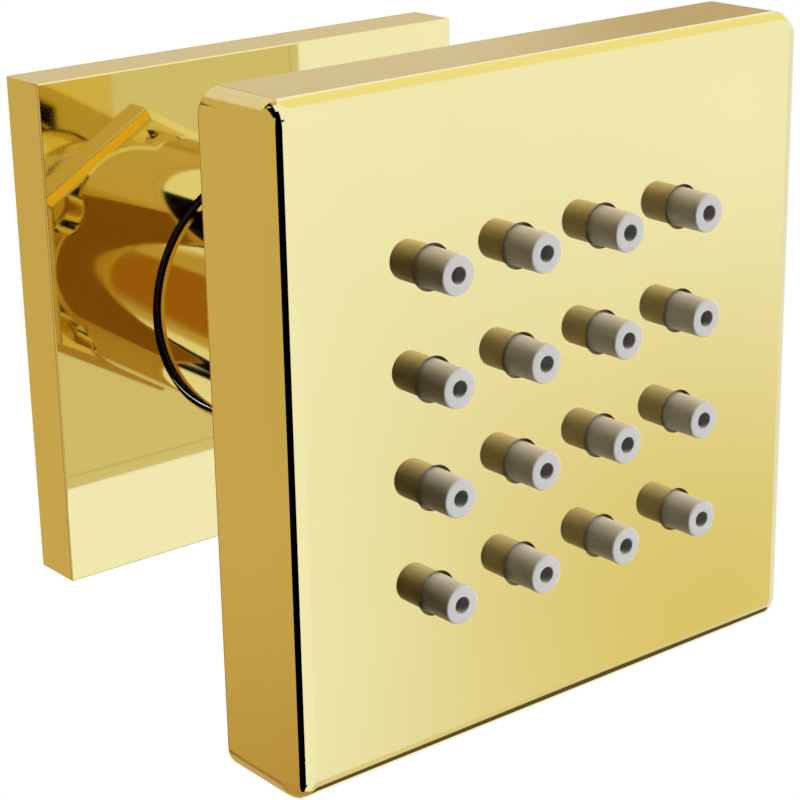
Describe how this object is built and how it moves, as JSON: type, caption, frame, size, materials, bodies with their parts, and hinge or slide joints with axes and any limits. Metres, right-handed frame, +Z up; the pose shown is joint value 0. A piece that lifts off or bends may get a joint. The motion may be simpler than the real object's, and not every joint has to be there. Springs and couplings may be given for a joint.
{
  "type": "shower body jet",
  "caption": "Square wall-mounted shower body jet: polished gold flange, round barrel with hexagon, ball joint and square spray head with a grid of silicone nozzles.",
  "frame": {"origin": "on the inlet's axis, in the plane of the wall that the flange stands on", "axes": "+Z up, +Y along the inlet's axis into the wall, so the jet sprays towards -Y; +X to the right as seen from the front"},
  "size_m": [0.07, 0.0764, 0.07],
  "materials": {
    "polished_gold": "gold-coloured coating on brass, polished to a mirror",
    "raw_brass": "turned, uncoated",
    "stainless": "bright",
    "silicone": "pale grey silicone, matt",
    "black_rubber": "moulded",
    "black_foam": "closed-cell foam",
    "grey_plastic": "moulded",
    "white_plastic": "turned, low friction"
  },
  "bodies": {
    "barrel": {"inlet_connector": "raw_brass", "inlet_washer": "black_rubber", "inlet_strainer": "stainless", "flow_limiter": "grey_plastic", "limiter_o_ring": "black_rubber", "ball_nut": "polished_gold", "seat_gasket": "black_rubber"},
    "flange": {"wall_flange": "polished_gold", "flange_o_ring": "black_rubber", "wall_gasket": "black_foam"},
    "seat": {"seat_ring": "white_plastic", "seat_o_ring": "black_rubber"},
    "liner": {"ball_liner": "white_plastic"},
    "head": {"swivel_ball": "polished_gold", "spigot_o_ring": "black_rubber", "head_back_plate": "polished_gold", "head_gasket": "black_rubber", "head_shell": "polished_gold", "distributor_plate": "grey_plastic", "nozzle_mat": "silicone", "plate_screws": "stainless"}
  },
  "joints": [
    {"name": "flange_slide", "type": "slide", "parent": "barrel", "child": "flange", "axis": [0, -1, 0], "range_m": [0, 0.0224]},
    {"name": "head_spin", "type": "hinge", "parent": "barrel", "child": "seat", "pos_m": [0, -0.03, 0], "axis": [0, -1, 0], "continuous": true},
    {"name": "head_tilt", "type": "hinge", "parent": "seat", "child": "liner", "pos_m": [0, -0.03, 0], "axis": [1, 0, 0], "range_deg": [-15, 15]},
    {"name": "head_pan", "type": "hinge", "parent": "liner", "child": "head", "pos_m": [0, -0.03, 0], "axis": [0, 0, 1], "range_deg": [-15, 15]}
  ]
}
